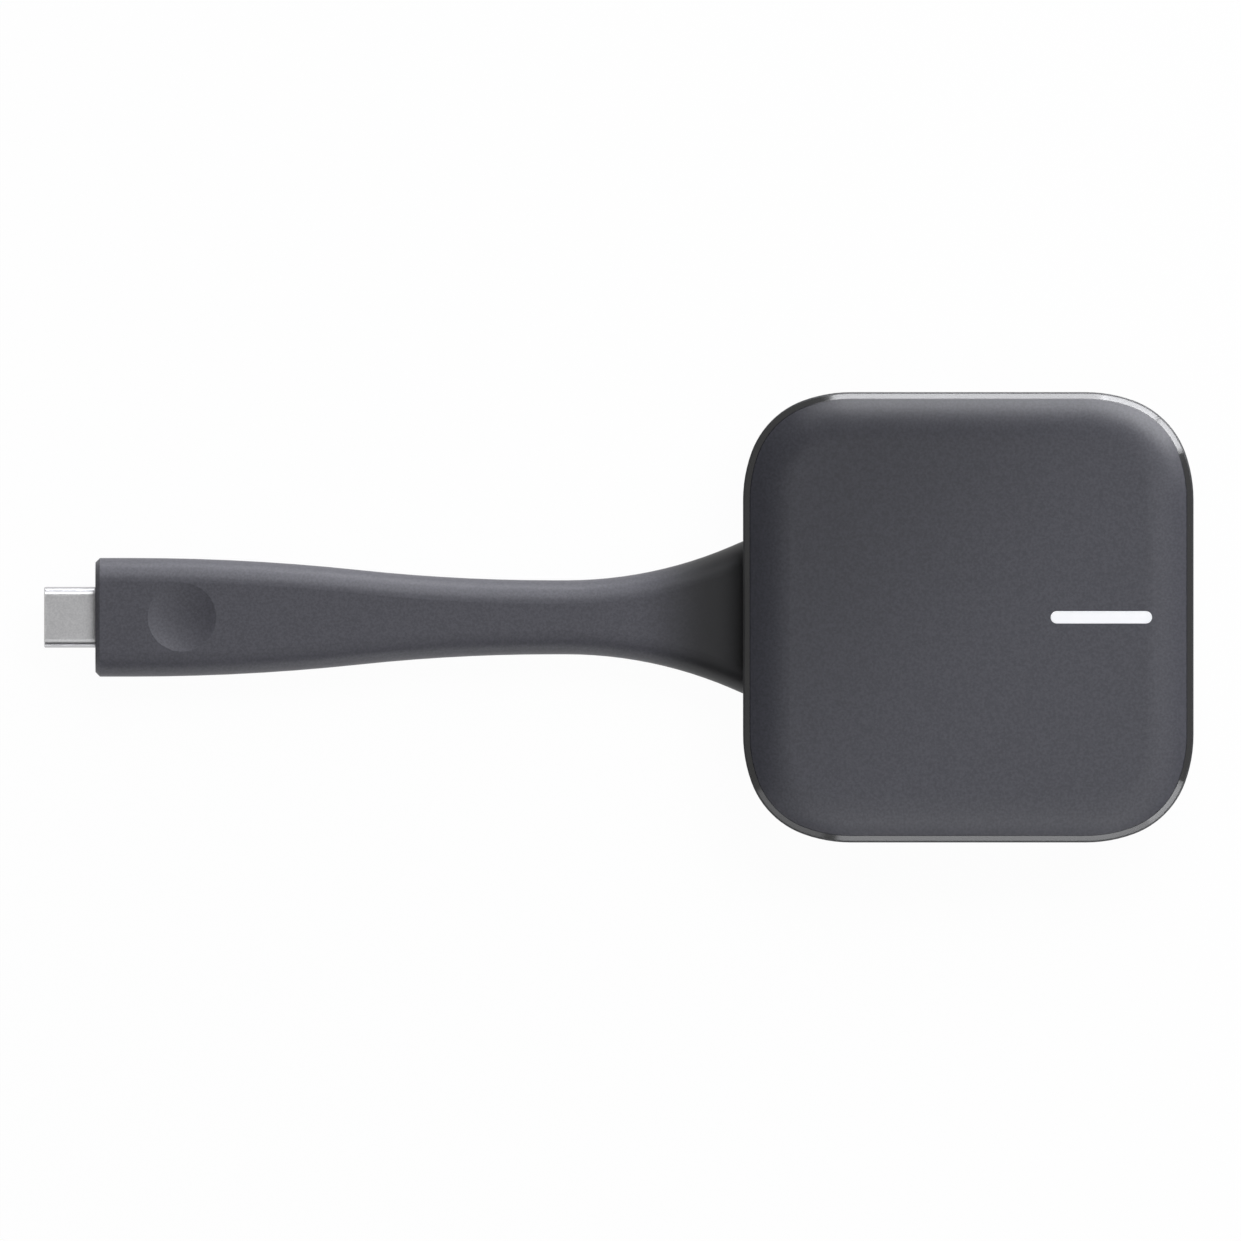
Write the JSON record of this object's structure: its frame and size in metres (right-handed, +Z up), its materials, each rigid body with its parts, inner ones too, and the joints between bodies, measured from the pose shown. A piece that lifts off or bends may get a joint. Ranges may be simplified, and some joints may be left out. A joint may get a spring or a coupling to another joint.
{
  "type": "wireless presentation dongle",
  "caption": "Square soft-cornered wireless presentation dongle whose whole top presses, on a flat waisted tail with a USB-C plug.",
  "frame": {"origin": "centre of the square head, on the surface that its rubber foot rests on", "axes": "+X runs along the tail from the plug towards the head, +Z points up out of the button, +Y is to the left seen from the plug"},
  "size_m": [0.1557, 0.061, 0.0141],
  "materials": {
    "cap_paint": "fine satin paint with a grain, charcoal grey",
    "tail_rubber": "soft satin, charcoal grey",
    "housing_plastic": "fine matt texture, dark grey",
    "foot_rubber": "matt black",
    "lens_white": "opal white, lit from below",
    "guide_clear": "clear, polished",
    "white_plastic": "white, matt",
    "black_plastic": "black, matt",
    "ivory_plastic": "ivory, matt",
    "board_green": "green solder mask, satin",
    "chip_black": "black epoxy, matt",
    "steel_bright": "drawn stainless steel, satin",
    "steel_zinc": "zinc plated, satin",
    "aluminium_plate": "sawn plate, satin",
    "tin_plate": "tin plated sheet, satin",
    "contact_gold": "gold plated, bright",
    "grey_silicone": "soft gap pad, matt",
    "ferrite_grey": "ferrite, matt",
    "ceramic_tan": "tan ceramic, matt",
    "cable_jacket": "black jacket, satin",
    "wire_jacket": "coloured insulation, satin"
  },
  "bodies": {
    "base": {"base_housing": "housing_plastic", "foot_pad": "foot_rubber", "inner_frame": "black_plastic", "frame_screws": "steel_zinc", "light_baffle": "white_plastic", "status_leds": "white_plastic", "main_board": "board_green", "processor": "chip_black", "thermal_pad": "grey_silicone", "heat_spreader": "aluminium_plate", "memory_chip": "chip_black", "flash_chip": "chip_black", "wifi_chip": "chip_black", "wifi_shield": "tin_plate", "antenna_left": "tin_plate", "antenna_right": "tin_plate", "power_inductors": "ferrite_grey", "crystal": "tin_plate", "capacitors": "ceramic_tan", "switch_body": "black_plastic", "cable_header": "ivory_plastic", "cable_plug": "ivory_plastic", "cable_wires": "wire_jacket", "cable_clamp": "steel_zinc", "clamp_screws": "steel_zinc", "cable_ferrule": "steel_zinc", "inner_cable": "cable_jacket", "tail_sleeve": "tail_rubber", "plug_shell": "steel_bright", "plug_insulator": "black_plastic", "plug_contacts_upper": "contact_gold", "plug_contacts_lower": "contact_gold", "plug_latch": "steel_bright", "plug_board": "board_green", "plug_shield": "tin_plate"},
    "cap": {"press_cap": "cap_paint", "cap_carrier": "black_plastic", "light_bar": "lens_white", "light_guide": "guide_clear"},
    "stem": {"switch_stem": "black_plastic"}
  },
  "joints": [
    {"name": "cap_press", "type": "slide", "parent": "base", "child": "cap", "axis": [0, 0, -1], "range_m": [0, 0.0004], "stiffness_N_per_m": 800, "springref_m": -0.001},
    {"name": "stem_press", "type": "slide", "parent": "base", "child": "stem", "axis": [0, 0, -1], "range_m": [0, 0.0004]}
  ],
  "couplings": [
    {"joint": "stem_press", "follows": "cap_press", "ratio": 1}
  ]
}
